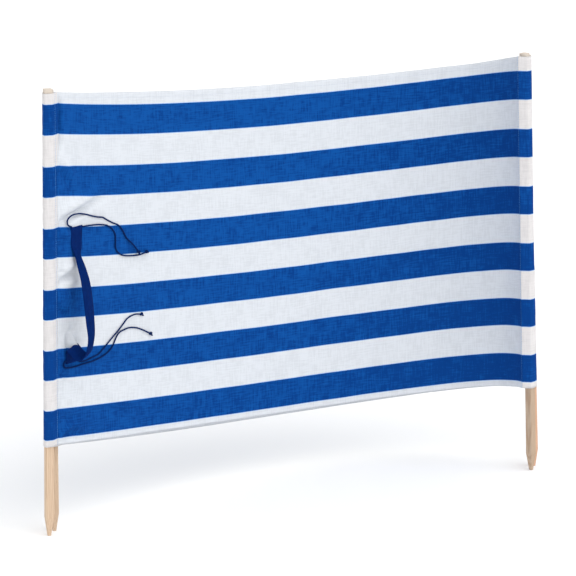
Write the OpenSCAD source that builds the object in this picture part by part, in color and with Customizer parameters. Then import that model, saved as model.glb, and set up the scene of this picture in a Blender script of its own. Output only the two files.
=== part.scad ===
// Beach windbreak: striped cloth on pointed wooden stakes, its three bays
// folded zigzag one behind the other. The origin is the foot of the front left
// stake, +X runs along the bay, +Y to the back and +Z up the stake.

/* [Stakes] */
// Length of a stake, foot to top
stake_h = 1005; // [950:5:1500]
// Side of the square stake
stake_w = 18; // [14:0.5:26]
// Width taken off each long edge
stake_edge = 1.5; // [0.5:0.25:3]
// Height of the sawn point
point_h = 42; // [20:1:70]
// Side of the blunt end of the point
tip_w = 7; // [4:0.5:12]
// Turn of each stake about its own axis, in degrees
stake_turns = [-4, 23, -4, 23]; // [-45:1:45]
// How much shorter each stake is than that length
stake_short = [4, 0, 10, 0]; // [0:1:20]
// Sideways lean of each stake, in degrees, to the right where positive
stake_leans = [1, -2.1, 0.4, -2.7]; // [-4:0.1:4]

/* [Bays] */
// Distance between the stakes of the front bay at the foot
bay_w = 1220; // [800:10:1600]
// Depth by which the cloth bellies to the back
belly = 245; // [100:5:350]
// How far the middle of a bay hangs below its ends
droop = 59; // [0:1:100]
// Sideways place of the rear stakes at the foot
rear_x = 22; // [20:1:60]
// Distance of the rear stakes behind the front ones
rear_y = 28; // [28:1:60]

/* [Cloth] */
// Distance of the cloth below the stake tops
cloth_drop = 9; // [2:1:60]
// How far the cloth has slid down on each stake
cloth_slips = [0, 0, 9, 7]; // [0:1:30]
// Thickness of the cloth
cloth_t = 1.5; // [1:0.1:2]
// Height of one blue stripe
blue_h = 66.5; // [40:0.5:67]
// Height of one white stripe between two blue ones
white_h = 69.5; // [40:0.5:72]
// Number of blue stripes
blue_count = 6; // [3:1:6]
// Height of the white stripe at the top
top_white_h = 28; // [10:0.5:40]
// Height of the white stripe at the foot
foot_white_h = 15.5; // [15:0.5:40]
// Height of the folded hems
hem_h = 12; // [8:1:20]

/* [Sleeves] */
// Room between a stake's corners and its sleeve
sleeve_room = 0.4; // [0.2:0.1:3]
// Width of a sleeve from its outer edge to the seam
sleeve_w = 34; // [32:1:60]

/* [Strap and cords] */
// Width of the webbing strap
strap_w = 38; // [20:1:50]
// Thickness of the webbing
strap_t = 1.8; // [1:0.1:3]
// Diameter of the tying cords
cord_d = 3.4; // [2:0.1:6]
// Diameter of the knot at a cord's end
knot_d = 6; // [4:0.5:10]

/* [Hidden] */
$fn = 48;
steps = 24; // pieces along a bay
cord_sides = 8;
sleeve_in = (stake_w - stake_edge) / sqrt(2) + sleeve_room;
sleeve_out = sleeve_in + cloth_t;
seam_x = sleeve_w - sleeve_out; // from the stake's axis
cloth_h = top_white_h + blue_count * blue_h + (blue_count - 1) * white_h + foot_white_h;
cloth_top = stake_h - cloth_drop;
cloth_foot = cloth_top - cloth_h;
half_t = cloth_t / 2;
touch = 0.1; // clearance where cloth lies against cloth
fold = 2 * cloth_t + 2 * touch; // two bays at a shared seam, with a hem between
hem_trim = 10 * cloth_t; // a hem starts this far after a left seam

// Feet of the stakes: front left, front right, rear left, rear right
stakes = [[0, 0], [bay_w, 0], [rear_x, rear_y], [bay_w + rear_x, rear_y]];
sides = [1, -1, 1, -1]; // which way the seam lies from the stake
slopes = [for (a = stake_leans) tan(a)];

// Depth of stripe edge k below the top of the cloth
function edge_drop(k) =
    k == 0 ? 0 :
    k == 2 * blue_count + 1 ? cloth_h :
    top_white_h + floor(k / 2) * blue_h + floor((k - 1) / 2) * white_h;

// The front bay follows one cubic curve in plan. The pulls are its handles: it
// leaves the left seam at a slant and comes to the right seam from behind.
span = bay_w - 2 * seam_x;
pull_left = [0.515 * span, 1.547 * belly];
pull_right = [0.042 * span, 1.1 * belly];
along_left = pull_left / norm(pull_left);
along_right = -pull_right / norm(pull_right);
function turned(v) = [-v[1], v[0]];
across_left = turned(along_left);
across_right = turned(along_right);

// Where the cloth leaves the sleeve of stake i
function seam(i) = stakes[i] + [sides[i] * seam_x, 0];
// Left end of a bay at the seam of stake i, depth d behind the seam line
function left_end(i, d) =
    seam(i) + d * across_left + (touch - (d + half_t) * across_left[0]) / along_left[0] * along_left;
// Right end of a bay, beside the seam of stake i
function right_end(i) =
    seam(i) - [touch + half_t * across_right[0] + 2 * cloth_t * along_right[0] / along_right[1], cloth_t];

front = [seam(0), seam(0) + pull_left, right_end(1) + pull_right, right_end(1)];
function curve(u) =
    pow(1 - u, 3) * front[0] + 3 * pow(1 - u, 2) * u * front[1]
    + 3 * (1 - u) * u * u * front[2] + pow(u, 3) * front[3];
function slope(u) =
    3 * pow(1 - u, 2) * (front[1] - front[0]) + 6 * (1 - u) * u * (front[2] - front[1])
    + 3 * u * u * (front[3] - front[2]);
function along(u) = slope(u) / norm(slope(u));

// The rear bays lie behind that curve. Each bay is
// [left stake, right stake, left end, right end, extra droop, extra belly]
bays = [
    [0, 1, left_end(0, 0), right_end(1), 0, 0],
    [2, 1, left_end(2, -fold / 2), right_end(1) + fold * across_right - (fold + 3 * cloth_t) * along_right, 3, 8],
    [2, 3, left_end(2, fold / 2), right_end(3), 6, 20]
];
// Point in plan at t along bay b, depth d behind the middle of its cloth
function path_point(b, t, d) =
    let (left = b[2] - front[0], right = b[3] - front[3],
         u0 = left * along_left / norm(slope(0)), u1 = 1 + right * along_right / norm(slope(1)),
         d0 = left * across_left, d1 = right * across_right,
         u = u0 + (u1 - u0) * t, depth = d0 + (d1 - d0) * t + b[5] * 4 * t * (1 - t))
    curve(u) + (depth + d) * turned(along(u));
// How far bay b hangs down at t
function sag(b, t) =
    cloth_slips[b[0]] * (1 - t) + cloth_slips[b[1]] * t
    + (droop + b[4]) * 4 * t * (1 - t) * (1 - 0.48 * (2 * t - 1));
// The same point at height z, brought to the bay's two ends, leaning and drooping
function cloth_point(b, t, d, z) =
    let (q = path_point(b, t, d) + (b[2] - path_point(b, 0, 0)) * pow(1 - t, 4)
             + (b[3] - path_point(b, 1, 0)) * pow(t, 4),
         lean = slopes[b[0]] * (1 - t) + slopes[b[1]] * t)
    [q[0] + lean * z, q[1], z - sag(b, t)];
// The same point on the flat facets that the cloth is made of
function facet_point(b, t, d, z) =
    let (u = t * steps, j = min(floor(u), steps - 1))
    (1 - u + j) * cloth_point(b, j / steps, d, z) + (u - j) * cloth_point(b, (j + 1) / steps, d, z);

// Routes on the front bay. Each point is [distance from the left seam, height,
// distance in front of the cloth].
strap_route = [
    [67, 700, 1.9], [67, 680, 1.9], [64, 660, 2.1], [64, 645, 4], [62, 630, 10], [60, 605, 22],
    [60, 580, 31], [58, 550, 39], [56, 520, 45], [54, 490, 50], [54, 460, 53], [52, 438, 52],
    [52, 420, 46], [49, 410, 36], [49, 412, 26], [47, 424, 17], [47, 430, 9], [47, 422, 3.5],
    [47, 405, 1.9], [47, 388, 1.9]
];
cord_routes = [
    [[47.4, 697, 2.8], [41, 698, 2.8], [34, 702, 2.8], [32, 710, 2.8], [39, 718, 2.8], [54, 724, 2.8],
     [77, 726, 2.8], [99, 724, 2.8], [120, 720, 2.8], [142, 717, 2.8], [157, 716, 2.8], [172, 710, 2.8],
     [191, 703, 2.8], [213, 696, 2.8], [228, 683, 2.8], [241, 666, 2.8], [262, 651, 4], [279, 634, 6]],
    [[87, 697, 2.8], [112, 699, 2.8], [140, 700, 2.8], [168, 698, 2.8], [187, 691, 2.8], [200, 677, 2.8],
     [202, 661, 2.8], [202, 646, 2.8], [211, 634, 2.8], [230, 627, 2.8], [258, 625, 2.8], [286, 626, 2.8],
     [309, 631, 4]],
    [[27.2, 395, 2.8], [24, 395, 2.8], [19, 391, 2.8], [19, 385, 2.8], [24, 381, 2.8], [39, 380, 2.8],
     [62, 382, 2.8], [88, 386, 2.8], [112, 389, 2.8], [137, 394, 2.8], [159, 401, 2.8], [178, 410, 2.8],
     [191, 421, 2.8], [200, 435, 2.8], [211, 448, 2.8], [228, 455, 2.8], [251, 459, 2.8], [275, 457, 2.8],
     [299, 450, 2.8], [322, 441, 4]],
    [[66.9, 395, 2.8], [82, 392, 2.8], [99, 394, 2.8], [118, 399, 2.8], [140, 405, 2.8], [157, 416, 2.8],
     [176, 430, 2.8], [195, 444, 2.8], [213, 457, 2.8], [228, 469, 2.8], [241, 480, 2.8], [256, 486, 2.8],
     [273, 489, 2.8], [290, 488, 4]]
];
function on_front(p) = facet_point(bays[0], p[0] / norm(slope(0)), -p[2], p[1]);
// Level direction of the facet below a route point
function facet_along(p) =
    let (j = floor(p[0] / norm(slope(0)) * steps),
         w = cloth_point(bays[0], (j + 1) / steps, 0, p[1]) - cloth_point(bays[0], j / steps, 0, p[1]))
    unit([w[0], w[1], 0]);
function unit(v) = v / norm(v);
// Direction of a list of points at point j
function heading(points, j) = unit(points[min(j + 1, len(points) - 1)] - points[max(j - 1, 0)]);

module section(w, edge) {
    h = w / 2;
    polygon([
        [-h + edge, -h], [h - edge, -h], [h, -h + edge], [h, h - edge],
        [h - edge, h], [-h + edge, h], [-h, h - edge], [-h, -h + edge]
    ]);
}

// Sets what follows at the foot of stake i, leaning as it leans
module at_stake(i) {
    translate([stakes[i][0], stakes[i][1], 0])
        rotate([0, stake_leans[i], 0])
            children();
}

// A square stake with a sawn point, whose blunt foot is cut level
module stake(i) {
    slice = 0.01;
    extra = 1;
    color("burlywood")
        difference() {
            at_stake(i)
                rotate([0, 0, stake_turns[i]]) {
                    hull() {
                        translate([0, 0, -extra]) linear_extrude(slice) section(tip_w, stake_edge / 2);
                        translate([0, 0, point_h - slice])
                            linear_extrude(slice) section(stake_w, stake_edge);
                    }
                    translate([0, 0, point_h])
                        linear_extrude(stake_h - stake_short[i] - point_h) section(stake_w, stake_edge);
                }
            translate([stakes[i][0] - stake_w, stakes[i][1] - stake_w, -2 * stake_w])
                cube(2 * stake_w);
        }
}

// Outline of a sleeve: a round loop with two straight sides to the seam
function loop_outline(r, tip) =
    let (a = acos(r / tip))
    concat([[tip, -cloth_t], [tip, cloth_t]],
        [for (k = [0 : 24]) let (w = a + (360 - 2 * a) * k / 24) [r * cos(w), r * sin(w)]]);

module sleeve_band(i, k) {
    translate([0, 0, cloth_top - cloth_slips[i] - edge_drop(k + 1)])
        linear_extrude(edge_drop(k + 1) - edge_drop(k))
            mirror([sides[i] > 0 ? 0 : 1, 0])
                difference() {
                    polygon(loop_outline(sleeve_out, seam_x));
                    polygon(loop_outline(sleeve_in, seam_x - 2.2 * cloth_t));
                }
}

module sleeve(i, first) {
    color(first == 0 ? "white" : "royalblue")
        at_stake(i)
            for (k = [first : 2 : 2 * blue_count]) sleeve_band(i, k);
}

// A strip of cloth along bay b from depth d0 to d1 and between two heights,
// its ends short of the bay's ends by the fractions in trim
module strip(b, d0, d1, z0, z1, trim = [0, 0]) {
    ts = concat([trim[0]], [for (j = [1 : steps - 1]) if (j / steps < 1 - trim[1]) j / steps], [1 - trim[1]]);
    corners = [[d0, z0], [d1, z0], [d1, z1], [d0, z1]];
    points = [for (t = ts) for (c = corners) facet_point(b, t, c[0], c[1])];
    last = 4 * (len(ts) - 1);
    faces = concat(
        [for (j = [0 : 4 : last - 4]) for (f = [
            [0, 1, 5], [0, 5, 4], [1, 2, 6], [1, 6, 5], [3, 7, 6], [3, 6, 2], [0, 4, 7], [0, 7, 3]])
            [for (v = f) j + v]],
        [[3, 2, 1], [3, 1, 0], [last, last + 1, last + 2], [last, last + 2, last + 3]]);
    polyhedron(points, faces);
}

module bay(i, first) {
    color(first == 0 ? "white" : "royalblue")
        for (k = [first : 2 : 2 * blue_count])
            strip(bays[i], -half_t, half_t, cloth_top - edge_drop(k + 1), cloth_top - edge_drop(k));
}

// A hem is folded to the back. It ends short of the seams, and clear of the bay
// behind it at the right.
module hem(i, z0) {
    d = half_t + touch;
    color("whitesmoke") strip(bays[i], d, d + cloth_t, z0, z0 + hem_h,
        [hem_trim, 2 * (sleeve_w + rear_y)] / bay_w);
}

// Closed skin over rings of n points each
module skin(rings, n) {
    points = [for (r = rings) for (p = r) p];
    count = len(rings);
    walls = [for (j = [0 : count - 2]) for (k = [0 : n - 1])
        let (a = n * j + k, c = n * j + (k + 1) % n)
        for (f = [[a, c, c + n], [a, c + n, a + n]]) f];
    polyhedron(points, concat(walls,
        [[for (k = [n - 1 : -1 : 0]) k]], [[for (k = [0 : n - 1]) n * (count - 1) + k]]));
}

// The webbing lies flat on the cloth at its two sewn ends and stands off
// between them, its width always along the cloth
module strap() {
    route = [for (p = strap_route) on_front(p)];
    rings = [for (j = [0 : len(route) - 1])
        let (wide = strap_w / 2 * facet_along(strap_route[j]),
             thick = strap_t / 2 * unit(cross(wide, heading(route, j))))
        [route[j] - wide - thick, route[j] + wide - thick, route[j] + wide + thick, route[j] - wide + thick]];
    color("midnightblue") skin(rings, 4);
}

module cord(i) {
    route = [for (p = cord_routes[i]) on_front(p)];
    rings = [for (j = [0 : len(route) - 1])
        let (h = heading(route, j), w = facet_along(cord_routes[i][j]),
             out = unit(cross(h, cross([w[1], -w[0], 0], h))), side = cross(h, out))
        [for (k = [0 : cord_sides - 1]) let (a = 360 * k / cord_sides)
            route[j] + cord_d / 2 * (cos(a) * out + sin(a) * side)]];
    color("midnightblue") skin(rings, cord_sides);
}

module cord_knot(i) {
    route = [for (p = cord_routes[i]) on_front(p)];
    last = len(route) - 1;
    color("midnightblue")
        translate(route[last] + (knot_d / 2) * heading(route, last))
            sphere(d = knot_d);
}

for (i = [0 : 3]) stake(i);
for (i = [0 : 3]) sleeve(i, 0);
for (i = [0 : 3]) sleeve(i, 1);
for (i = [0 : 2]) bay(i, 0);
for (i = [0 : 2]) bay(i, 1);
for (i = [0 : 2]) hem(i, cloth_top - hem_h);
for (i = [0 : 2]) hem(i, cloth_foot);
strap();
for (i = [0 : 3]) cord(i);
for (i = [0 : 3]) cord_knot(i);
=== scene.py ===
import math

import bpy
import numpy as np
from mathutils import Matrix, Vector


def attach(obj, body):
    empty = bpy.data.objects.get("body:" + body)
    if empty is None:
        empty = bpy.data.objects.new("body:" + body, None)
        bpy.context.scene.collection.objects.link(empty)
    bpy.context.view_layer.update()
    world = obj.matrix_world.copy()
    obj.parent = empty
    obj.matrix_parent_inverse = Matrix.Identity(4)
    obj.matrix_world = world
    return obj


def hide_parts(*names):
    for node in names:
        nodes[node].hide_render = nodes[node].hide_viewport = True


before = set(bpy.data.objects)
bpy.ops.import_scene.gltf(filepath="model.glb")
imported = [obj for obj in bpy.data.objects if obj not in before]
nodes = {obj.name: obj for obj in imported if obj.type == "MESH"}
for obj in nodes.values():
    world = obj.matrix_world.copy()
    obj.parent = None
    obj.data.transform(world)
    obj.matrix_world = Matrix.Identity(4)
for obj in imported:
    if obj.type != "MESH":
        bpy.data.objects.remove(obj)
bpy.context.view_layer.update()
mm = 0.001

camera = {
    "place": (-1.891, -5.532, 1.931),
    "yaw": 24.08,       # degrees from +Y towards +X
    "down": 13.21,      # degrees below level
    "lens": 171.8,
}


def makeCamera(c):
    data = bpy.data.cameras.new("camera")
    data.lens, data.sensor_width = c["lens"], 36
    data.clip_start, data.clip_end = 0.1, 60
    obj = bpy.data.objects.new("camera", data)
    obj.location = c["place"]
    obj.rotation_euler = (math.radians(90 - c["down"]), 0, math.radians(-c["yaw"]))
    bpy.context.scene.collection.objects.link(obj)
    bpy.context.scene.camera = obj


makeCamera(camera)


# The cloth's own coordinates: t runs from 0 at a bay's left seam to 1 at its right
# seam, d is the depth behind the middle of the cloth and z the height before it droops.
stakes = {
    "feet": [(0, 0), (1220 * mm, 0), (22 * mm, 28 * mm), (1242 * mm, 28 * mm)],
    "leans": [1, -2.1, 0.4, -2.7],   # degrees to the right
    "turns": [-4, 23, -4, 23],
    "sides": [1, -1, 1, -1],         # which way the seam lies
}
cloth = {
    "top": 996 * mm, "height": 790 * mm, "thick": 0.6 * mm,
    "firstWhite": 28 * mm, "blue": 66.5 * mm, "pitch": 136 * mm,
    "belly": 245 * mm, "droop": 59 * mm, "lead": 0.48, "slips": np.array([0, 0, 9, 7]) * mm,
    "cadThick": 1.5 * mm, "touch": 0.1 * mm, "hem": 12 * mm,
}
sleeve = {"inner": (18 - 1.5) / math.sqrt(2) * mm + 0.4 * mm, "width": 34 * mm}
sleeve["outer"] = sleeve["inner"] + cloth["cadThick"]
seamX = sleeve["width"] - sleeve["outer"]
leanSlopes = np.tan(np.radians(stakes["leans"]))
fold = 2 * cloth["cadThick"] + 2 * cloth["touch"]


def unit(v):
    v = np.asarray(v, float)
    return v / np.maximum(np.linalg.norm(v, axis=-1, keepdims=True), 1e-12)


def turned(v):  # a quarter turn to the left in plan
    return np.stack([-v[..., 1], v[..., 0]], -1)


span = 1220 * mm - 2 * seamX
pullLeft = np.array([0.515 * span, 1.547 * cloth["belly"]])
pullRight = np.array([0.042 * span, 1.1 * cloth["belly"]])
alongLeft, alongRight = unit(pullLeft), -unit(pullRight)
acrossLeft, acrossRight = turned(alongLeft), turned(alongRight)


def seamPoint(i):
    return np.array(stakes["feet"][i]) + [stakes["sides"][i] * seamX, 0]


def leftEnd(i, d):
    reach = (cloth["touch"] - (d + cloth["cadThick"] / 2) * acrossLeft[0]) / alongLeft[0]
    return seamPoint(i) + d * acrossLeft + reach * alongLeft


def rightEnd(i):
    thick = cloth["cadThick"]
    aside = cloth["touch"] + thick / 2 * acrossRight[0] + 2 * thick * alongRight[0] / alongRight[1]
    return seamPoint(i) - [aside, thick]


plan = np.array([seamPoint(0), seamPoint(0) + pullLeft, rightEnd(1) + pullRight, rightEnd(1)])


def curve(u):  # one cubic curve in plan through four control points
    u = np.asarray(u, float)[..., None]
    v = 1 - u
    return v ** 3 * plan[0] + 3 * v ** 2 * u * plan[1] + 3 * v * u * u * plan[2] + u ** 3 * plan[3]


def slope(u):
    u = np.asarray(u, float)[..., None]
    v = 1 - u
    first, second, third = plan[1] - plan[0], plan[2] - plan[1], plan[3] - plan[2]
    return 3 * v ** 2 * first + 6 * v * u * second + 3 * u * u * third


bays = [  # left stake, right stake, left end, right end, extra droop, extra belly
    (0, 1, leftEnd(0, 0), rightEnd(1), 0, 0),
    (2, 1, leftEnd(2, -fold / 2),
     rightEnd(1) + fold * acrossRight - (fold + 3 * cloth["cadThick"]) * alongRight, 3 * mm, 8 * mm),
    (2, 3, leftEnd(2, fold / 2), rightEnd(3), 6 * mm, 20 * mm),
]


def planPoint(bay, t, d):
    left, right = bay[2] - plan[0], bay[3] - plan[3]
    u0 = left @ alongLeft / np.linalg.norm(slope(0.0))
    u1 = 1 + right @ alongRight / np.linalg.norm(slope(1.0))
    d0, d1 = left @ acrossLeft, right @ acrossRight
    u = u0 + (u1 - u0) * t
    depth = d0 + (d1 - d0) * t + bay[5] * 4 * t * (1 - t)
    return curve(u) + (depth + d)[..., None] * turned(unit(slope(u)))


def sag(bay, t):
    slip = cloth["slips"][bay[0]] * (1 - t) + cloth["slips"][bay[1]] * t
    return slip + (cloth["droop"] + bay[4]) * 4 * t * (1 - t) * (1 - cloth["lead"] * (2 * t - 1))


# The plan curve at t and depth d, brought to the bay's two ends, leaning as its stakes
# do and lowered by the sag.
def clothPoint(bay, t, d, z):
    t, d, z = np.broadcast_arrays(*[np.asarray(v, float) for v in (t, d, z)])
    zero, one = np.zeros(1), np.ones(1)
    q = planPoint(bay, t, d)
    q = q + (bay[2] - planPoint(bay, zero, zero)[0]) * ((1 - t) ** 4)[..., None]
    q = q + (bay[3] - planPoint(bay, one, zero)[0]) * (t ** 4)[..., None]
    lean = leanSlopes[bay[0]] * (1 - t) + leanSlopes[bay[1]] * t
    return np.stack([q[..., 0] + lean * z, q[..., 1], z - sag(bay, t)], -1)


# Shader maths: a Field wraps one socket, and arithmetic on it adds Math nodes.
class Field:
    def __init__(self, shader, socket):
        self.shader, self.socket = shader, socket

    def math(self, operation, *others):
        return self.shader.node("ShaderNodeMath", {"operation": operation}, self, *others)

    def __add__(self, o): return self.math("ADD", o)
    __radd__ = __add__
    def __mul__(self, o): return self.math("MULTIPLY", o)
    __rmul__ = __mul__
    def __sub__(self, o): return self.math("SUBTRACT", o)
    def __rsub__(self, o): return self.shader.node("ShaderNodeMath", {"operation": "SUBTRACT"}, o, self)
    def __truediv__(self, o): return self.math("DIVIDE", o)
    def sin(self): return self.math("SINE")
    def mod(self, o): return self.math("FLOORED_MODULO", o)
    def clamp(self): return self.math("MAXIMUM", 0).math("MINIMUM", 1)


class Shader:
    def __init__(self, name, roughness, **constants):
        self.material = bpy.data.materials.new(name)
        self.material.use_nodes = True
        self.tree = self.material.node_tree
        self.surface = self.tree.nodes["Principled BSDF"]
        self.surface.inputs["Roughness"].default_value = roughness
        for key, value in constants.items():
            self.surface.inputs[key.replace("_", " ")].default_value = value

    # adds a node of a type, with its settings first and then its inputs in order or by name
    def node(self, kind, settings=None, *inputs, out=0, **named):
        n = self.tree.nodes.new(kind)
        for key, value in (settings or {}).items():
            setattr(n, key, value)
        pairs = list(enumerate(inputs)) + [(k.replace("_", " "), v) for k, v in named.items()]
        for key, value in pairs:
            if isinstance(value, Field):
                self.tree.links.new(value.socket, n.inputs[key])
            else:
                n.inputs[key].default_value = value
        return Field(self, n.outputs[out])

    def place(self, x, y, z=0.0):
        return self.node("ShaderNodeCombineXYZ", None, x, y, z)

    def noise(self, vector, scale=1.0, detail=2.0):
        return self.node("ShaderNodeTexNoise", None, Vector=vector, Scale=scale, Detail=detail)

    def axes(self, vector):
        split = self.node("ShaderNodeSeparateXYZ", None, vector)
        return [Field(self, split.socket.node.outputs[k]) for k in range(3)]

    def mixColour(self, factor, a, b):
        n = self.tree.nodes.new("ShaderNodeMix")
        n.data_type = "RGBA"
        for key, value in ((0, factor), (6, a), (7, b)):
            if isinstance(value, Field):
                self.tree.links.new(value.socket, n.inputs[key])
            else:
                n.inputs[key].default_value = value if key == 0 else (*value, 1)
        return Field(self, n.outputs[2])

    def finish(self, colour, height=None, distance=0.3 * mm, strength=0.6):
        self.tree.links.new(colour.socket, self.surface.inputs["Base Color"])
        if height is not None:
            bump = self.node("ShaderNodeBump", None, Strength=strength, Distance=distance, Height=height)
            self.tree.links.new(bump.socket, self.surface.inputs["Normal"])
        return self.material


def onSurface(shader):  # metres along and across the piece
    return shader.axes(shader.node("ShaderNodeUVMap", {"uv_map": "surface"}))


clothLook = {
    "white": (0.72, 0.75, 0.795), "sleeveWhite": (0.745, 0.72, 0.72), "shaded": 0.91,
    "blue": (0.0052, 0.084, 0.350), "deepBlue": (0.0025, 0.048, 0.240),
    "blueDepth": 0.22, "sleeveBlueAndShade": 0.85,      # how deep the blue is mixed, 0 to 1; the sleeves' deeper value is painted shade
    "thread": 1.1 * mm, "edge": 0.5 * mm, "fray": 0.9 * mm,
    "creep": 1.5 * mm, "stained": (0.20, 0.45, 0.85),
}


# Stripes are a saw-tooth of the depth below the top edge; slubs are noise drawn out
# along the weft and along the warp; the weave is a product of two sines.
def clothMaterial(name, look, white, blueDepth):
    s = Shader(name, 0.9, Specular_IOR_Level=0.04)
    along, down, _ = onSurface(s)
    fray = s.noise(s.place(along * 900, down * 60), detail=1) - 0.5
    tooth = (down - cloth["firstWhite"] + fray * look["fray"]).mod(cloth["pitch"])
    stripe = ((cloth["blue"] - tooth) / look["edge"]).clamp() * (tooth / look["edge"]).clamp()
    weft = s.noise(s.place(along * 34, down * 300), detail=3)
    warp = s.noise(s.place(along * 300, down * 28), detail=3)
    patch = s.noise(s.place(along * 26, down * 26), detail=4)
    slub = (weft + warp) * 0.5
    # painted shade: the blue is mixed a little deeper towards the foot and the far end of the weave
    paintedShade = down * 0.45 + (along - 0.75).math("MAXIMUM", 0) * 1.15
    # random dye patches and slubs, the blue's depth and the painted shade, all in one mask
    dyeAndShade = ((patch - 0.5) * 1.5 + (slub - 0.5) * 6.0 + blueDepth + paintedShade).clamp()
    blue = s.mixColour(dyeAndShade, look["blue"], look["deepBlue"])
    shade = ((slub - 0.5) * 6 + (patch - 0.5) * 2 + 0.4).clamp()
    pale = s.mixColour(shade, white, tuple(look["shaded"] * c for c in white))
    # the dye creeps a little past the stripe's edges
    below = ((cloth["blue"] + look["creep"] - tooth) / look["creep"]).clamp()
    above = ((tooth - cloth["pitch"]) / look["creep"] + 1).clamp()
    pale = s.mixColour(below.math("MAXIMUM", above), pale, look["stained"])
    colour = s.mixColour(stripe, pale, blue)
    turns = 2 * math.pi / look["thread"]
    weave = (along * turns).sin() * (down * turns).sin()
    height = slub * 1.4 + weave * 0.35
    return s.finish(colour, height, distance=0.0005, strength=0.55)


woodLook = {
    "pale": (0.72, 0.55, 0.395), "dark": (0.52, 0.345, 0.225), "fleck": (0.34, 0.20, 0.12),
    "sawn": (0.66, 0.60, 0.53), "sawnFrom": 975 * mm,
    "ring": 3.4 * mm, "wander": 9 * mm, "slant": 0.55,
    # each stake's tint: stake 2 is darkened and stake 3 greyed as painted shade, and stake 4 is pinker
    "tintsAndShade": [(1, 1, 1), (0.74, 0.74, 0.75), (0.93, 0.95, 0.97), (0.98, 0.80, 0.75)],
}


# Growth lines are a sine across the stake, bent by noise drawn out along the grain.
def woodMaterial(name, look, centre, shift, tintAndShade):
    s = Shader(name, 0.62, Specular_IOR_Level=0.3)
    x, y, z = s.axes(s.node("ShaderNodeTexCoord", out=3))
    across = s.place((x - centre[0] + shift) * 70, (y - centre[1]) * 70, z * 3)
    bend = s.noise(across, detail=2)
    depth = (x - centre[0]) + (y - centre[1]) * look["slant"] + bend * look["wander"]
    rings = (depth * (2 * math.pi / look["ring"])).sin()
    fibre = s.noise(s.place(x * 1500, y * 1500, z * 28), detail=3)
    fleck = s.noise(s.place(x * 500, y * 500, (z + shift) * 60), detail=1)
    grain = ((rings * 0.5 + 0.5) * 0.65 + (fibre - 0.5) * 1.9 + 0.08).clamp()
    # the pale and dark wood take the stake's tint, which holds painted shade for stakes 2 and 3
    pale, dark = (tuple(c * k for c, k in zip(look[n], tintAndShade)) for n in ("pale", "dark"))
    colour = s.mixColour(grain, pale, dark)
    colour = s.mixColour(((fleck - 0.70) * 9).clamp() * 0.6, colour, look["fleck"])
    bareTop = ((z - look["sawnFrom"]) * 90).clamp() * 0.8      # paler and greyer towards the top
    colour = s.mixColour(bareTop, colour, look["sawn"])
    return s.finish(colour, fibre * 0.6 + rings * 0.25, distance=0.00025, strength=0.5)


bandLook = {"navy": (0.0004, 0.010, 0.078), "light": (0.0006, 0.031, 0.205), "rib": 1.5 * mm}


# Webbing: ribs across the band and fine cords along it.
def bandMaterial(name, look):
    s = Shader(name, 0.8, Specular_IOR_Level=0.05)
    across, along, _ = onSurface(s)
    turns = 2 * math.pi / look["rib"]
    rib = (along * turns + (across * turns * 0.5).sin() * 0.9).sin()
    fine = (across * turns * 0.9).sin()
    worn = s.noise(s.place(across * 90, along * 90), detail=3)
    colour = s.mixColour((rib * 0.18 + worn * 0.7).clamp(), look["navy"], look["light"])
    return s.finish(colour, rib * 0.6 + fine * 0.4, distance=0.0005, strength=0.7)


cordLook = {
    "dark": (0.0015, 0.010, 0.060), "light": (0.004, 0.028, 0.14),
    "lay": 5.5 * mm, "strands": 3,
}


# Laid cord: strands wind round it, so the sine runs on length plus angle.
def cordMaterial(name, look):
    s = Shader(name, 0.8, Specular_IOR_Level=0.05)
    around, along, _ = onSurface(s)
    lay = (along * (2 * math.pi / look["lay"]) + around * (2 * math.pi * look["strands"])).sin()
    fluff = s.noise(s.place(around * 12, along * 900), detail=2)
    colour = s.mixColour(((lay * 0.5 + 0.5) * 0.6 + fluff * 0.4).clamp(), look["dark"], look["light"])
    return s.finish(colour, lay * 0.8 + fluff * 0.4, distance=0.0005, strength=0.8)


def plainMaterial(name, colour, roughness=0.9, wander=0.03, scale=6.0):
    s = Shader(name, roughness)
    cloud = s.noise(s.node("ShaderNodeTexCoord", out=3), scale=scale)
    shade = s.mixColour(cloud, colour, tuple(c * (1 - wander) for c in colour))
    return s.finish(shade)


looks = {
    "cloth": clothMaterial("stripedCloth", clothLook, clothLook["white"], clothLook["blueDepth"]),
    # the sleeves get a deeper blue, which is painted shade
    "sleeve": clothMaterial("sleeveCloth", clothLook, clothLook["sleeveWhite"], clothLook["sleeveBlueAndShade"]),
    "band": bandMaterial("navyWebbing", bandLook),
    "cord": cordMaterial("navyCord", cordLook),
    "thread": plainMaterial("sewingThread", (0.58, 0.63, 0.72), 0.7, 0.1, 400),
    "seamThread": plainMaterial("seamThread", (0.10, 0.38, 0.80), 0.7, 0.1, 400),
}


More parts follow.
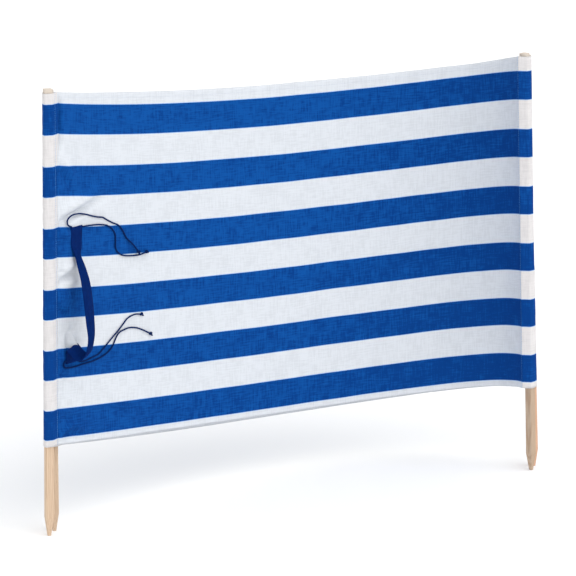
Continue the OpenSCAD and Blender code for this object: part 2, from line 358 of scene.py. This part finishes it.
# A grid of points becomes quads; wrap joins the last column to the first and a closed
# piece gets a point over each end. A closed mesh whose volume is negative is turned out.
def meshFromGrid(name, points, surface, wrap=False, capped=False, material=None):
    points = np.asarray(points, float)
    rows, cols = points.shape[:2]
    index = np.arange(rows * cols).reshape(rows, cols)
    a = index[:-1] if wrap else index[:-1, :-1]
    b = np.roll(index, -1, 1)[:-1] if wrap else index[:-1, 1:]
    c = np.roll(index, -1, 1)[1:] if wrap else index[1:, 1:]
    d = index[1:] if wrap else index[1:, :-1]
    quads = np.stack([a, b, c, d], -1).reshape(-1, 4)
    step = index.shape[1]
    spots = np.stack(np.broadcast_arrays(*surface), -1).astype(float)
    right = np.arange(step if wrap else step - 1) + 1
    uvGrid = spots
    if wrap:      # one more column, so that the last quads' own edge carries on
        seam = spots[:, :1] + (spots[:, -1:] - spots[:, :1]) * step / (step - 1)
        uvGrid = np.concatenate([spots, seam], 1)
    corner = [uvGrid[:-1, right - 1], uvGrid[:-1, right], uvGrid[1:, right], uvGrid[1:, right - 1]]
    loops = np.stack(corner, 2).reshape(-1, 2)
    verts = points.reshape(-1, 3)
    faces = [quads]
    if capped:
        ends = [points[0].mean(0), points[-1].mean(0)]
        verts = np.concatenate([verts, ends])
        n = rows * cols
        first, last = index[0], index[-1]
        faces += [np.stack([np.roll(first, -1), first, np.full(cols, n)], -1),
                  np.stack([last, np.roll(last, -1), np.full(cols, n + 1)], -1)]
        loops = np.concatenate([loops, np.repeat(spots[0, :1], 3 * cols, 0),
                                np.repeat(spots[-1, :1], 3 * cols, 0)])
        tri = np.concatenate([quads[:, [0, 1, 2]], quads[:, [0, 2, 3]]] + faces[1:])
        p = verts[tri]
        if np.einsum("ij,ij->i", p[:, 0], np.cross(p[:, 1], p[:, 2])).sum() < 0:
            lengths = [4] * len(quads) + [3] * (2 * cols)
            starts = np.cumsum([0] + lengths[:-1])
            order = np.concatenate([np.arange(s, s + k)[::-1] for s, k in zip(starts, lengths)])
            loops = loops[order]
            faces = [f[:, ::-1] for f in faces]
    return meshFromFaces(name, verts, faces, loops, material)


def meshFromFaces(name, verts, faces, loops, material):
    flat = np.concatenate([f.ravel() for f in faces])
    totals = np.concatenate([np.full(len(f), f.shape[1]) for f in faces])
    mesh = bpy.data.meshes.new(name)
    mesh.vertices.add(len(verts))
    mesh.vertices.foreach_set("co", np.asarray(verts, np.float32).ravel())
    mesh.loops.add(len(flat))
    mesh.loops.foreach_set("vertex_index", flat.astype(np.int32))
    mesh.polygons.add(len(totals))
    mesh.polygons.foreach_set("loop_start", np.concatenate([[0], np.cumsum(totals)[:-1]]).astype(np.int32))
    mesh.update(calc_edges=True)
    mesh.validate()
    if loops is not None:
        mesh.uv_layers.new(name="surface").data.foreach_set("uv", loops.astype(np.float32).ravel())
    mesh.polygons.foreach_set("use_smooth", np.ones(len(totals), bool))
    obj = bpy.data.objects.new(name, mesh)
    bpy.context.scene.collection.objects.link(obj)
    if material is not None:
        mesh.materials.append(material)
    return obj


def dress(obj, slot, *stoodFor):
    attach(obj, "root")
    if stoodFor:
        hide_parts(*stoodFor)
    return obj


# Catmull-Rom: a smooth line through the points, with the same count on each stretch.
def smoothLine(points, count):
    p = np.asarray(points, float)
    p = np.vstack([2 * p[0] - p[1], p, 2 * p[-1] - p[-2]])
    u = np.linspace(0, len(p) - 3, count)
    k = np.minimum(u.astype(int), len(p) - 4)
    f = (u - k)[:, None]
    a, b, c, d = p[k], p[k + 1], p[k + 2], p[k + 3]
    return 0.5 * (2 * b + (c - a) * f + (2 * a - 5 * b + 4 * c - d) * f ** 2
                  + (3 * b - a - 3 * c + d) * f ** 3)


def evenly(line, count):  # the same line with its points spread evenly along it
    steps = np.linalg.norm(np.diff(line, axis=0), axis=1)
    s = np.concatenate([[0], np.cumsum(steps)])
    want = np.linspace(0, s[-1], count)
    return np.stack([np.interp(want, s, line[:, k]) for k in range(line.shape[1])], -1)


# Rings of a round section stand square to the line, turned from an outward direction.
def tube(name, line, radius, sides, material, outward=(0, -1, 0)):
    line = np.asarray(line, float)
    heading = unit(np.gradient(line, axis=0))
    out = unit(np.asarray(outward) - (heading * outward).sum(1, keepdims=True) * heading)
    side = np.cross(heading, out)
    angle = np.linspace(0, 2 * math.pi, sides, endpoint=False)
    r = np.broadcast_to(np.asarray(radius, float), (len(line),))[:, None, None]
    ring = np.cos(angle)[None, :, None] * out[:, None] + np.sin(angle)[None, :, None] * side[:, None]
    run = np.concatenate([[0], np.cumsum(np.linalg.norm(np.diff(line, axis=0), axis=1))])
    return meshFromGrid(name, line[:, None] + r * ring, (angle[None] / (2 * math.pi), run[:, None]),
                        wrap=True, capped=True, material=material)


def sheetEdge(obj, thickness):  # gives the sheet its thickness, half to each side
    solid = obj.modifiers.new("thickness", "SOLIDIFY")
    solid.thickness, solid.offset = thickness, 0


# Routes on the front bay in mm: distance from the left seam, height and distance in front.
cords = {
    "diameter": 3.4 * mm, "sides": 12, "guide": 400, "points": 150,
    "knot": 3.4 * mm, "knotStrand": 0.36,                       # the strand is a share of the diameter
    "tail": 3 * mm, "tailDrop": 3 * mm, "tailStrand": 0.42,
    "routes": [
        [(47.4, 697, 2.8), (41, 698, 2.8), (34, 702, 2.8), (32, 710, 2.8), (39, 718, 2.8), (54, 724, 2.8),
         (77, 726, 2.8), (99, 724, 2.8), (120, 720, 2.8), (142, 717, 2.8), (157, 716, 2.8), (172, 710, 2.8),
         (191, 703, 2.8), (213, 696, 2.8), (228, 683, 2.8), (241, 666, 2.8), (262, 651, 4), (279, 634, 6)],
        [(87, 697, 2.8), (112, 699, 2.8), (140, 700, 2.8), (168, 698, 2.8), (187, 691, 2.8), (200, 677, 2.8),
         (202, 661, 2.8), (202, 646, 2.8), (211, 634, 2.8), (230, 627, 2.8), (258, 625, 2.8), (286, 626, 2.8),
         (309, 631, 4)],
        [(27.2, 395, 2.8), (24, 395, 2.8), (19, 391, 2.8), (19, 385, 2.8), (24, 381, 2.8), (39, 380, 2.8),
         (62, 382, 2.8), (88, 386, 2.8), (112, 389, 2.8), (137, 394, 2.8), (159, 401, 2.8), (178, 410, 2.8),
         (191, 421, 2.8), (200, 435, 2.8), (211, 448, 2.8), (228, 455, 2.8), (251, 459, 2.8), (275, 457, 2.8),
         (299, 450, 2.8), (322, 441, 4)],
        [(66.9, 395, 2.8), (82, 392, 2.8), (99, 394, 2.8), (118, 399, 2.8), (140, 405, 2.8), (157, 416, 2.8),
         (176, 430, 2.8), (195, 444, 2.8), (213, 457, 2.8), (228, 469, 2.8), (241, 480, 2.8), (256, 486, 2.8),
         (273, 489, 2.8), (290, 488, 4)],
    ],
}
seamSpeed = float(np.linalg.norm(slope(0.0)))


def onFront(route):
    x, z, d = (np.asarray(route, float) * mm).T
    return clothPoint(bays[0], x / seamSpeed, -d, z)


# An overhand knot is a trefoil: sin u + 2 sin 2u, cos u - 2 cos 2u, -sin 3u.
def makeKnot(name, centre, heading, size, radius, material):
    u = np.linspace(0, 2 * math.pi, 61)
    ring = np.stack([np.sin(u) + 2 * np.sin(2 * u), -1.2 * np.sin(3 * u),
                     np.cos(u) - 2 * np.cos(2 * u)], -1) / 3
    side = unit(np.cross(heading, (0, -1, 0)))
    up = np.cross(side, heading)
    line = centre + size * (ring[:, :1] * heading + ring[:, 1:2] * up + ring[:, 2:] * side)
    return tube(name, line, radius, 8, material, outward=up)


def makeCord(k, c):
    line = evenly(smoothLine(onFront(c["routes"][k]), c["guide"]), c["points"])
    length = float(np.linalg.norm(np.diff(line, axis=0), axis=1).sum())
    piece = tube(f"tyingCord{k + 1}", line, c["diameter"] / 2, c["sides"], looks["cord"])
    heading = unit(line[-1] - line[-4])
    knot = makeKnot(f"cordKnot{k + 1}", line[-1] + heading * c["knot"] * 0.5, heading,
                    c["knot"], c["diameter"] * c["knotStrand"], looks["cord"])
    tailLine = line[-1] + heading * np.linspace(c["knot"] * 0.8, c["knot"] + c["tail"], 12)[:, None]
    tailLine[:, 2] -= np.linspace(0, 1, 12) ** 2 * c["tailDrop"]
    frayed = np.linspace(1.0, 1.25, 12) * c["diameter"] * c["tailStrand"]
    tail = tube(f"cordTail{k + 1}", tailLine, frayed, 10, looks["cord"])
    dress(piece, "navy_cord", f"cord_{k + 1}")
    dress(knot, "navy_cord", f"cord_{k + 1}_knot")
    dress(tail, "navy_cord")
    return length


print("tying cords, metres:", [round(makeCord(k, cords), 3) for k in range(4)])


# Folds in the front bay in mm: from, to, width and depth, where a positive depth is a valley.
folds = [
    ((0, 702), (165, 760), 9, 5.0), ((0, 724), (160, 782), 12, -4.0), ((20, 690), (120, 735), 10, -2.0),
    ((0, 572), (70, 598), 7, 3.4), ((0, 592), (66, 616), 9, -2.6), ((0, 597), (26, 599), 4, 2.4),
    ((10, 560), (80, 580), 9, -2.2),
    ((0, 699), (60, 694), 4, 2.4), ((6, 690), (44, 674), 9, -3.6), ((0, 664), (30, 650), 8, 2.0),
    ((0, 535), (14, 519), 4, -2.6), ((10, 520), (36, 505), 4, -2.6), ((0, 526), (30, 500), 4, 2.2),
    ((10, 553), (60, 522), 12, -3.2),
    # the pucker over the strap's lower end
    ((50, 452), (54, 416), 6, -6.0), ((34, 456), (38, 418), 5, 3.0), ((66, 456), (70, 418), 5, 3.0),
    ((40, 466), (62, 466), 5, 3.0),
    ((0, 381), (36, 363), 5, -2.8), ((0, 372), (30, 356), 5, 2.0), ((4, 224), (50, 252), 6, -3.6),
    ((44, 252), (90, 230), 6, -2.8), ((14, 232), (70, 226), 7, 2.6), ((10, 262), (70, 268), 7, 2.0),
    ((11, 985), (10, 860), 7, 6.5), ((12, 852), (64, 800), 12, -3.0), ((4, 834), (44, 788), 8, 2.6),
    ((12, 330), (90, 300), 14, 1.2), ((2360, 980), (2100, 930), 30, 1.5),
]


# Each fold is a bell across its line and fades along it a little past both ends.
def foldDepth(x, z):
    past = 0.15
    d = np.zeros(np.broadcast(x, z).shape)
    for (x0, z0), (x1, z1), width, depth in folds:
        run = np.hypot(x1 - x0, z1 - z0)
        a, b = (x1 - x0) / run, (z1 - z0) / run
        along = (x / mm - x0) * a + (z / mm - z0) * b
        off = (z / mm - z0) * a - (x / mm - x0) * b
        s = np.clip(along / run, -past, 1 + past)
        fade = np.sin(np.pi * (s + past) / (1 + 2 * past)) ** 1.5
        d = d + depth * mm * np.exp(-(off / width) ** 2) * fade
    return d


# Slow waves are a few sines of the place on the cloth.
def waves(x, z, seed, size):
    rng = np.random.default_rng(seed)
    d = np.zeros(np.broadcast(x, z).shape)
    for _ in range(9):
        wide, tall = rng.uniform(0.16, 0.6), rng.uniform(0.25, 0.9)
        phase = rng.uniform(0, 2 * math.pi, 2)
        d = d + np.sin(2 * math.pi * x / wide + phase[0] + 1.5 * np.sin(2 * math.pi * z / tall + phase[1]))
    return d * size / 3


def creases(t, s):  # pressed down the cloth from top to foot
    return sum(s["creaseDeep"] * np.exp(-((t - p) / s["creaseWide"]) ** 2) for p in s["creases"])


sheet = {
    "columns": 236, "rows": 200, "rearColumns": 220, "rearRows": 80,
    "waves": 1.1 * mm, "crumple": 2.5,
    "creases": (0.257, 0.634), "creaseDeep": 0.35 * mm, "creaseWide": 0.004,
    "flatEnd": 7 * mm,         # the cloth lies flat this near its seams
    "behind": 0.9 * mm,        # how far the turned hem lies behind
    "stitchDent": 0.25 * mm, "stitchWide": 1.2 * mm, "stitchAt": 0.85,
    # how far the front bay's top edge stands above a straight cut, along the bay
    "edgeAt": (0, 0.12, 0.4, 0.8, 1), "edgeRise": (-4, 0, 2, 0, 6), "edgeDeep": 25 * mm,
}


def topEdge(t, z):  # raises the highest part of the cloth by the edge's own rise
    rise = np.interp(t, sheet["edgeAt"], sheet["edgeRise"]) * mm
    return z + rise * np.clip(1 - (cloth["top"] - z) / sheet["edgeDeep"], 0, 1)


# The hem is turned to the back along the top and the foot, so one sheet runs up the
# back of the foot hem, down round its edge, up the front and over the top edge.
def makeBay(k, s):
    bay, front = bays[k], k == 0
    columns = s["columns"] if front else s["rearColumns"]
    rows = s["rows"] if front else s["rearRows"]
    foot, top, hem = cloth["top"] - cloth["height"], cloth["top"], cloth["hem"]
    t = np.linspace(0, 1, columns)
    if front:  # closer columns near the left seam, where the folds are
        t = t ** 1.5 * 0.6 + t * 0.4
    body = np.linspace(foot, top, rows)
    bend = np.array([0.35, 0.75, 0.95])
    z = np.concatenate([[foot + hem], foot + hem * (1 - bend), body,
                        top - hem * (1 - bend[::-1]), [top - hem]])
    turn = s["behind"] * np.array([1, 1, 1, 0.6])
    d = np.concatenate([turn, np.zeros(rows), turn[::-1]])
    zz, tt = np.meshgrid(z, t, indexing="ij")
    x = tt * seamSpeed
    fromEnd = np.clip(np.minimum(tt, 1 - tt) * seamSpeed / s["flatEnd"], 0, 1)
    shape = waves(x, zz, 11 + k, s["waves"] * (1 if front else 0.5)) + creases(tt, s)
    if front:
        shape = shape + foldDepth(x, zz) * s["crumple"]
    for row in (foot + hem * s["stitchAt"], top - hem * s["stitchAt"]):
        shape = shape + s["stitchDent"] * np.exp(-((zz - row) / s["stitchWide"]) ** 2)
    points = clothPoint(bay, tt, d[:, None] + shape * fromEnd ** 2, topEdge(tt, zz) if front else zz)
    middle = clothPoint(bay, t, 0, 0.6)
    run = np.concatenate([[0], np.cumsum(np.linalg.norm(np.diff(middle, axis=0), axis=1))])
    down = top - zz
    n = k + 1
    piece = meshFromGrid(f"bay{n}Cloth", points, (run[None, :], down), material=looks["cloth"])
    sheetEdge(piece, cloth["thick"])
    dress(piece, "white_cloth", f"bay_{n}_white", f"bay_{n}_blue", f"bay_{n}_hem_top", f"bay_{n}_hem_foot")
    return piece, float(run[-1]), points[4:-4], t, body


# The sleeve runs from the seam to the front of the stake, round a square with soft
# corners, and back to the seam behind. Its radius is a superellipse of the angle.
wrap = {
    "half": 10.0 * mm, "power": 5, "ring": 12.2 * mm, "clear": 0.5 * mm,
    "rows": 130, "round": 56, "flat": 9, "lap": 6 * mm, "lapOut": 0.2 * mm,
}


def makeSleeve(i, start, end, w):
    z = np.linspace(cloth["top"] - cloth["height"], cloth["top"], w["rows"])
    rng = np.random.default_rng(40 + i)
    a = clothPoint(bays[start[0]], start[1], start[2], z)[:, :2]
    b = clothPoint(bays[end[0]], end[1], end[2], z)[:, :2]
    centre = np.array(stakes["feet"][i]) + np.stack([leanSlopes[i] * z, 0 * z], -1)
    way = -stakes["sides"][i]      # the front is turned to clockwise from a right-hand seam
    def tangent(p, sign):
        v = p - centre
        opening = np.arccos(w["ring"] / np.linalg.norm(v, axis=1)) * sign
        return np.arctan2(v[:, 1], v[:, 0]) % (2 * math.pi), opening
    angleA, openA = tangent(a, way)
    angleB, openB = tangent(b, -way)
    first, last = angleA + openA, angleB + openB
    last = first + ((last - first) * way % (2 * math.pi)) * way
    f = np.linspace(0, 1, w["round"])
    angle = first[:, None] + (last - first)[:, None] * f
    corner = angle - math.radians(stakes["turns"][i])
    square = np.abs(np.cos(corner)) ** w["power"] + np.abs(np.sin(corner)) ** w["power"]
    r = w["half"] / square ** (1 / w["power"])
    slack = 0      # the cloth stands off the stake in small ripples
    for _ in range(7):
        size, tall, shift = rng.uniform(0.1, 0.3) * mm, rng.uniform(0.03, 0.25), rng.uniform(0, 6)
        times, phase = rng.integers(1, 4), rng.uniform(0, 6)
        ripple = size * np.sin(2 * math.pi * z / tall + shift)[:, None]
        slack = slack + ripple * np.sin(angle * times + phase)
    r = r + w["clear"] + np.abs(slack)
    loop = centre[:, None] + r[..., None] * np.stack([np.cos(angle), np.sin(angle)], -1)
    g = np.linspace(0, 1, w["flat"])[:, None]
    lead = a[:, None] * (1 - g) + loop[:, :1] * g
    tail = loop[:, -1:] * (1 - g) + b[:, None] * g
    outline = np.concatenate([lead[:, :-1], loop, tail[:, 1:]], 1)
    for _ in range(3):
        outline[:, 1:-1] = (outline[:, :-2] + 2 * outline[:, 1:-1] + outline[:, 2:]) / 4
    if i in (0, 3):  # the end of the cloth laps onto the back of the bay
        k, t0 = end[0], end[1]
        inward = 1 if t0 < 0.5 else -1
        for q in (0.5, 1):
            t = t0 + inward * q * w["lap"] / seamSpeed
            lap = clothPoint(bays[k], t, end[2] + w["lapOut"], z)[:, None, :2]
            outline = np.concatenate([outline, lap], 1)
    height = (topEdge(float(i), z) if i < 2 else z) - cloth["slips"][i]
    points = np.concatenate([outline, np.broadcast_to(height[:, None, None], (*outline.shape[:2], 1))], -1)
    run = np.concatenate([[0], np.cumsum(np.linalg.norm(np.diff(points[len(z) // 2], axis=0), axis=1))])
    surface = (-run[None, :] * way, (cloth["top"] - z)[:, None])
    piece = meshFromGrid(f"sleeve{i + 1}Cloth", points, surface, material=looks["sleeve"])
    sheetEdge(piece, cloth["thick"])
    dress(piece, "white_cloth", f"sleeve_{i + 1}_white", f"sleeve_{i + 1}_blue")
    return piece, outline, z, float(run[-1])


# Stitches are short threads, each a row of three rings of five points with closed ends.
def makeStitches(name, rows, stitch):
    centres, headings, outs = [], [], []
    for line, out in rows:
        steps = np.linalg.norm(np.diff(line, axis=0), axis=1)
        s = np.concatenate([[0], np.cumsum(steps)])
        want = np.arange(stitch["pitch"] / 2, s[-1], stitch["pitch"])
        pick = lambda v: np.stack([np.interp(want, s, v[:, k]) for k in range(3)], -1)
        centres.append(pick(line))
        headings.append(pick(unit(np.gradient(line, axis=0))))
        outs.append(pick(out))
    c, h, o = (np.concatenate(v) for v in (centres, headings, outs))
    side = unit(np.cross(h, o))
    angle = np.linspace(0, 2 * math.pi, 5, endpoint=False)
    ring = np.cos(angle)[:, None] * o[:, None] + np.sin(angle)[:, None] * side[:, None]
    spots = []
    for place, swell in ((-0.5, 0.45), (0, 1.0), (0.5, 0.45)):
        r = stitch["thick"] / 2 * swell
        centre = c + place * stitch["length"] * h - (1 - swell) * stitch["thick"] * 0.4 * o
        spots.append(centre[:, None] + r * ring)
    block = np.concatenate(spots, 1)               # fifteen points a stitch
    near = np.arange(5)
    far = (near + 1) % 5
    band = np.stack([near, far, far + 5, near + 5], -1)
    quads = np.concatenate([band, band + 5])
    ends = np.array([[4, 3, 2, 1, 0], [10, 11, 12, 13, 14]])
    body = np.concatenate([quads[:, [0, 1, 2]], quads[:, [0, 2, 3]]])
    first, second, third = ((block[0] - block[0].mean(0))[body[:, k]] for k in range(3))
    if (first * np.cross(second, third)).sum() < 0:      # the faces look outward
        quads, ends = quads[:, ::-1], ends[:, ::-1]
    base = (np.arange(len(block)) * 15)[:, None, None]
    faces = [(quads[None] + base).reshape(-1, 4), (ends[None] + base).reshape(-1, 5)]
    piece = meshFromFaces(name, block.reshape(-1, 3), faces, None, looks[stitch["look"]])
    return dress(piece, "white_cloth")


stitch = {
    "pitch": 4.2 * mm, "length": 2.9 * mm, "thick": 0.75 * mm, "proud": 0.45 * mm, "look": "thread",
}
seamStitch = dict(stitch, look="seamThread", inset=2.2 * mm, slant=(0.12, 0.6))
bayPieces = []
for k in range(3):
    piece, runLength, grid, t, body = makeBay(k, sheet)
    rows = []
    inHem = cloth["hem"] * sheet["stitchAt"]
    for height in (inHem, cloth["height"] - inHem):
        row = grid[np.argmin(np.abs(body - (cloth["top"] - cloth["height"] + height)))]
        out = np.concatenate([-turned(unit(np.gradient(row[:, :2], axis=0))), np.zeros((len(row), 1))], 1)
        rows.append((row + out * stitch["proud"], out))
    threads = [makeStitches(f"bay{k + 1}Stitches", rows, stitch)]
    if k == 0:   # the seam beside the front right stake
        place = 1 - seamStitch["inset"] / seamSpeed
        j = int(np.searchsorted(t, place))
        f = (place - t[j - 1]) / (t[j] - t[j - 1])
        line = grid[:, j - 1] * (1 - f) + grid[:, j] * f
        out = -turned(unit((grid[:, j] - grid[:, j - 1])[:, :2]))
        out = np.concatenate([out, np.zeros((len(out), 1))], 1)
        threads.append(makeStitches("bay1SeamStitches", [(line + out * stitch["proud"], out)], seamStitch))
    bayPieces.append((piece, runLength, threads))
    print("bay", k + 1, "cloth between seams", round(runLength, 3))

for bay, (piece, runLength, threads) in zip(bays, bayPieces):
    [f"stake_{n + 1}" for n in bay[:2]]


# The left seam slants: its stitches run on the sleeve, further from the bay at the top.
def leftSeam(outline, z):
    share = np.interp(z, (z[0], z[-1]), seamStitch["slant"])[:, None]
    near, far = outline[:, 0], outline[:, wrap["flat"] - 2]      # the sleeve's flat stretch
    line = np.concatenate([near * (1 - share) + far * share, z[:, None]], 1)
    way = unit(far - near)
    out = np.concatenate([turned(way), np.zeros((len(z), 1))], 1)
    return line + out * stitch["proud"], out


lapBack = sheet["behind"]
ends = [((0, 0.0, 0.0), (0, 0.0, lapBack)), ((0, 1.0, 0.0), (1, 1.0, 0.0)),
        ((1, 0.0, 0.0), (2, 0.0, 0.0)), ((2, 1.0, 0.0), (2, 1.0, lapBack))]
for i, (start, end) in enumerate(ends):
    piece, outline, z, around = makeSleeve(i, start, end, wrap)
    f"stake_{i + 1}"
    if i == 0:
        makeStitches("sleeve1Stitches", [leftSeam(outline, z)], seamStitch)
    print("sleeve", i + 1, "cloth round the stake", round(around, 3))


# The webbing: a smooth route of its own in mm, with its width along the cloth. Its tilt in
# degrees and its share of the full width are given at places from 0 to 1 along it.
strap = {
    "width": 38 * mm, "thick": 1.6 * mm, "guide": 600, "count": 150, "across": 13,
    "bow": 7 * mm, "ripple": 0.18 * mm, "edgePower": 14,
    "route": [
        (66.5, 698, 1.4), (66, 678, 1.4), (65, 660, 1.8), (65, 645, 4), (62, 630, 10), (60, 605, 22),
        (60, 580, 31), (58, 550, 39), (56, 520, 45), (54, 490, 50), (54, 460, 53), (52, 438, 52),
        (52, 420, 46), (48, 410, 36), (44, 413, 25), (40, 423, 15), (40, 428, 8), (43, 421, 3.5),
        (46, 406, 1.8), (47, 391, 1.6),
    ],
    "tilt": [
        (0, 0), (0.12, -4), (0.2, 8), (0.3, 0), (0.66, 0), (0.76, 22), (0.84, 34), (0.92, 12), (1, 0),
    ],
    "narrow": [
        (0, 1.04), (0.06, 0.98), (0.13, 0.94), (0.17, 0.42), (0.24, 0.66), (0.36, 0.8), (0.5, 0.82),
        (0.6, 0.74), (0.69, 0.55), (0.78, 0.72), (0.86, 0.95), (0.94, 0.96), (1, 1.04),
    ],
}


def makeStrap(s):
    route = onFront(s["route"])
    line = evenly(smoothLine(route, s["guide"]), s["count"])
    f = np.linspace(0, 1, s["count"])
    x = np.interp(f, np.linspace(0, 1, len(s["route"])), [p[0] for p in s["route"]]) * mm
    w = unit(slope(x / seamSpeed))
    tilt = np.radians(np.interp(f, *zip(*s["tilt"])))[:, None]
    wide = np.concatenate([w * np.cos(tilt), np.sin(tilt)], 1)
    heading = unit(np.gradient(line, axis=0))
    wide = unit(wide - (wide * heading).sum(1)[:, None] * heading * np.abs(np.sin(tilt)))
    out = unit(np.cross(wide, heading))
    scale = np.interp(f, *zip(*s["narrow"]))
    scale = np.convolve(np.pad(scale, 4, "edge"), np.ones(9) / 9, "valid")
    half = s["width"] / 2 * scale
    # the section goes up one face and back down the other; a narrowed band bows
    v = np.linspace(-1, 1, s["across"])
    crown = (scale - 1)[:, None] * (1 - v ** 2) * s["bow"] + s["ripple"] * np.sin(v * 9)
    edge = np.sqrt(np.clip(1 - np.abs(v) ** s["edgePower"], 0, 1))
    face = s["thick"] / 2 * (0.35 + 0.65 * edge)
    offsets = np.concatenate([v, v[::-1]])
    rise = np.concatenate([crown + face, (crown - face)[:, ::-1]], 1)
    aside = half[:, None, None] * offsets[None, :, None] * wide[:, None]
    points = line[:, None] + aside + rise[..., None] * out[:, None]
    run = np.concatenate([[0], np.cumsum(np.linalg.norm(np.diff(line, axis=0), axis=1))])
    surface = (offsets[None] * s["width"] / 2, run[:, None])
    piece = meshFromGrid("carryingStrap", points, surface, wrap=True, capped=True,
                         material=looks["band"])
    dress(piece, "navy_webbing", "strap")
    return float(run[-1])


print("strap length", round(makeStrap(strap), 3))

for i, (x, y) in enumerate(stakes["feet"]):
    wood = woodMaterial(f"stakeWood{i + 1}", woodLook, (x, y), 0.37 * i, woodLook["tintsAndShade"][i])
    stake = nodes[f"stake_{i + 1}"]
    stake.data.materials.clear()
    stake.data.materials.append(wood)
print("stakes finished")


studio = {
    "floor": (0.965, 0.965, 0.965), "floorHalf": 40, "floorDown": 0.3 * mm,
    "sky": 0.90, "skyTint": (0.97, 0.985, 1, 1),
    "sun": 1.35, "sunTint": (1, 0.985, 0.96), "softness": 65, "sunFrom": (0.36, -0.78, 1.25),
}


def makeStudio(s):
    half, low = s["floorHalf"], -s["floorDown"]
    corners = np.array([[[-half, -half, low], [half, -half, low]], [[-half, half, low], [half, half, low]]])
    look = plainMaterial("paleFloor", s["floor"], 0.95, 0.004, 0.3)
    floor = meshFromGrid("floor", corners, (corners[..., 0], corners[..., 1]), material=look)
    world = bpy.context.scene.world or bpy.data.worlds.new("studio")
    bpy.context.scene.world = world
    world.use_nodes = True
    world.node_tree.nodes["Background"].inputs["Color"].default_value = s["skyTint"]
    world.node_tree.nodes["Background"].inputs["Strength"].default_value = s["sky"]
    data = bpy.data.lights.new("softSun", "SUN")
    data.energy, data.angle = s["sun"], math.radians(s["softness"])
    data.color = s["sunTint"]
    sun = bpy.data.objects.new("softSun", data)
    sun.rotation_euler = Vector(s["sunFrom"]).to_track_quat("Z", "Y").to_euler()
    bpy.context.scene.collection.objects.link(sun)


bpy.context.scene.view_settings.view_transform = "Standard"
makeStudio(studio)
print("studio ready")
